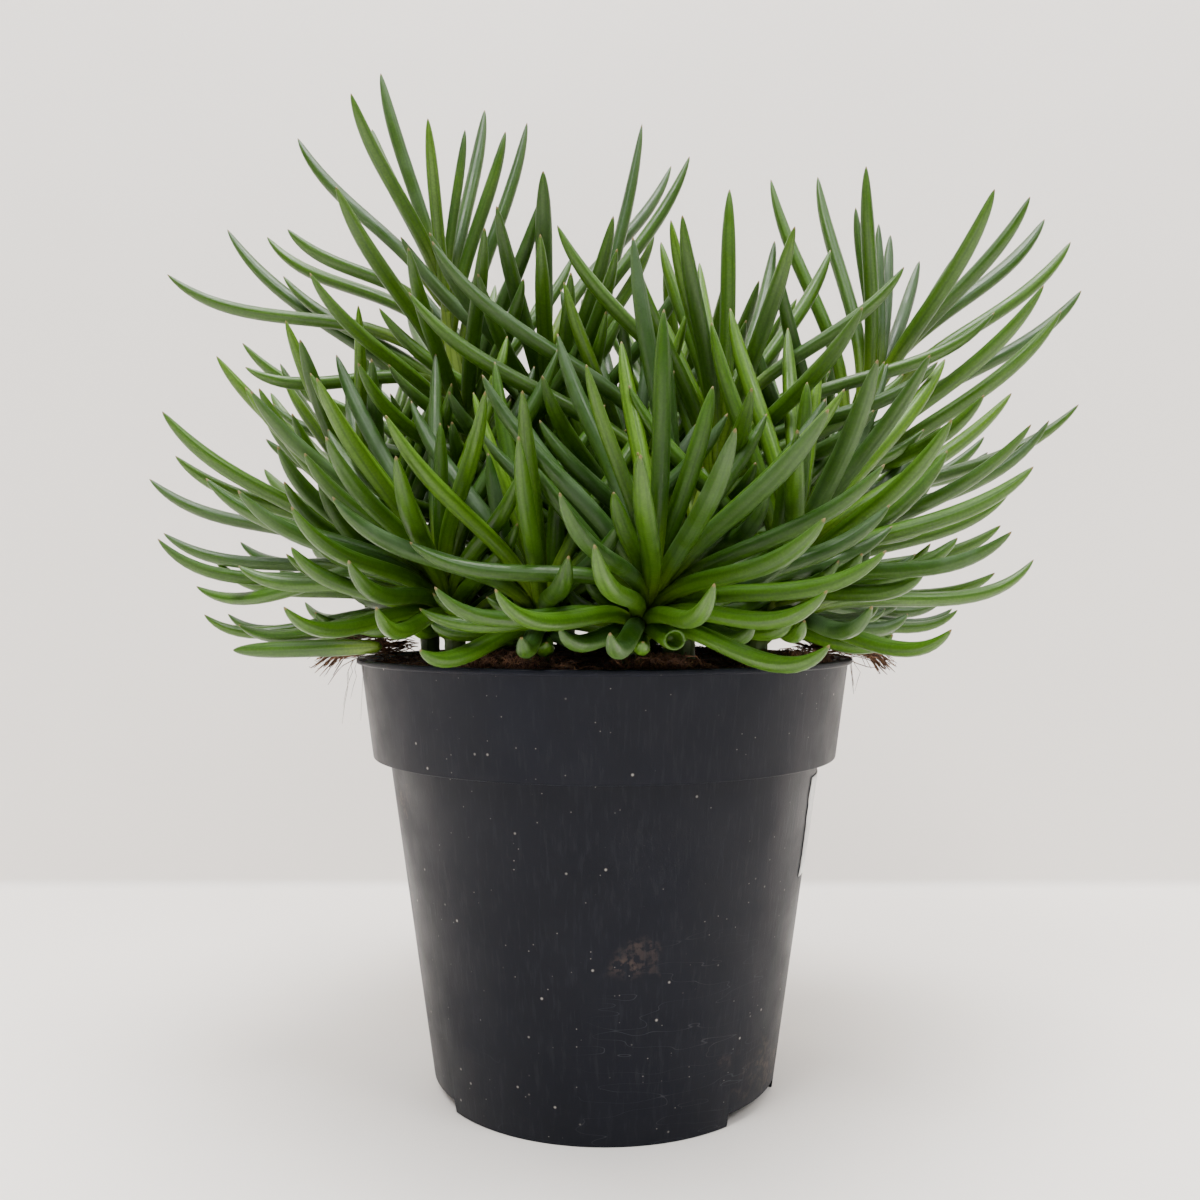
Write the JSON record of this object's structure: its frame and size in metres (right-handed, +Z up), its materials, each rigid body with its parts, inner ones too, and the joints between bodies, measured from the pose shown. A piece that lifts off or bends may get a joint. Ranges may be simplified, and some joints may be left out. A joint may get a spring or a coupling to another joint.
{
  "type": "potted succulent bush senecio",
  "caption": "Bushy finger-leaved succulent of many leafy shoots, growing in a round stepped plastic nursery pot filled to the rim with coir potting mix.",
  "frame": {"origin": "centre of the pot's foot, in the plane that it stands on", "axes": "+Z up along the pot's axis; -Y is the front, the side seen in a room; +X to the viewer's right"},
  "size_m": [0.33, 0.2937, 0.35],
  "materials": {
    "pot_plastic": "satin charcoal, recycled nursery pot plastic",
    "potting_mix": "damp coir and bark potting mix",
    "coir": "matted red-brown coir fibre",
    "leaf_green": "waxy satin succulent skin",
    "label_film": "plain translucent white film"
  },
  "bodies": {
    "root": {"back_leaf_1": "leaf_green", "back_leaf_2": "leaf_green", "back_left_leaf_1": "leaf_green", "back_left_leaf_2": "leaf_green", "back_left_leaf_3": "leaf_green", "back_left_shoot": "leaf_green", "back_right_leaf_1": "leaf_green", "back_right_shoot": "leaf_green", "back_shoot": "leaf_green", "centre_shoot": "leaf_green", "coir_left": "coir", "coir_right": "coir", "front_centre_leaf_1": "leaf_green", "front_centre_shoot": "leaf_green", "front_leaf_1": "leaf_green", "front_leaf_2": "leaf_green", "front_leaf_3": "leaf_green", "front_left_leaf_1": "leaf_green", "front_left_leaf_2": "leaf_green", "front_left_leaf_3": "leaf_green", "front_left_shoot": "leaf_green", "front_shoot": "leaf_green", "label": "label_film", "left_front_leaf_1": "leaf_green", "left_front_leaf_2": "leaf_green", "left_front_leaf_3": "leaf_green", "left_front_shoot": "leaf_green", "left_leaf_1": "leaf_green", "left_leaf_2": "leaf_green", "left_leaf_3": "leaf_green", "left_shoot": "leaf_green", "loose_leaf": "leaf_green", "middle_right_leaf_1": "leaf_green", "middle_right_leaf_2": "leaf_green", "middle_right_leaf_3": "leaf_green", "middle_right_shoot": "leaf_green", "pot": "pot_plastic", "potting_mix": "potting_mix", "right_back_leaf_1": "leaf_green", "right_back_leaf_2": "leaf_green", "right_back_leaf_3": "leaf_green", "right_back_shoot": "leaf_green", "right_front_leaf_1": "leaf_green", "right_front_leaf_2": "leaf_green", "right_front_leaf_3": "leaf_green", "right_front_shoot": "leaf_green", "tall_centre_leaf_1": "leaf_green", "tall_centre_leaf_2": "leaf_green", "tall_centre_shoot": "leaf_green", "tall_left_leaf_1": "leaf_green", "tall_left_leaf_2": "leaf_green", "tall_left_leaf_3": "leaf_green", "tall_left_shoot": "leaf_green", "tall_right_leaf_1": "leaf_green", "tall_right_leaf_2": "leaf_green", "tall_right_leaf_3": "leaf_green", "tall_right_shoot": "leaf_green"}
  },
  "joints": []
}
